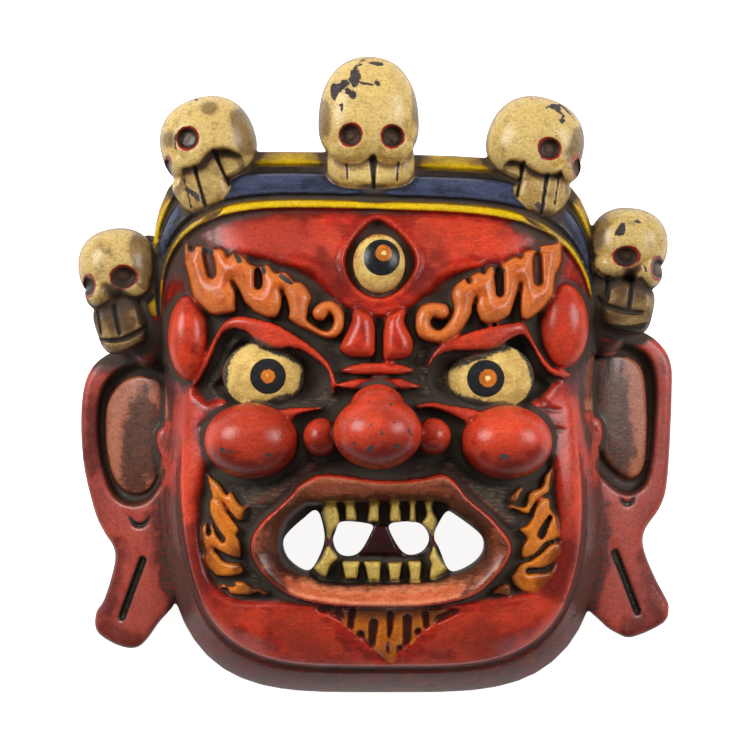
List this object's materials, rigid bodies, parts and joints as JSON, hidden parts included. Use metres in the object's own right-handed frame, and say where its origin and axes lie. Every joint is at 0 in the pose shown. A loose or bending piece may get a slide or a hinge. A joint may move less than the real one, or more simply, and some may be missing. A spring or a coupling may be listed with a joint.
{
  "type": "carved wooden mask",
  "caption": "Carved, painted wooden mask of a wrathful protector: flame brows, pierced fanged mouth, long ears and a crown of skulls on a striped band; it lies on its hollow back.",
  "frame": {"origin": "under the middle of the mask's box, on the plane that its flat back rim lies on", "axes": "+X towards the viewer's right of the face, +Y up to the crown, +Z out of the face"},
  "size_m": [0.4096, 0.4338, 0.1551],
  "materials": {
    "painted_wood": "hand-painted and lacquered wood, mostly red, with cream, orange, yellow and dark blue areas and a dark brown wash in the recesses"
  },
  "bodies": {
    "root": {"mask": "painted_wood"}
  },
  "joints": []
}
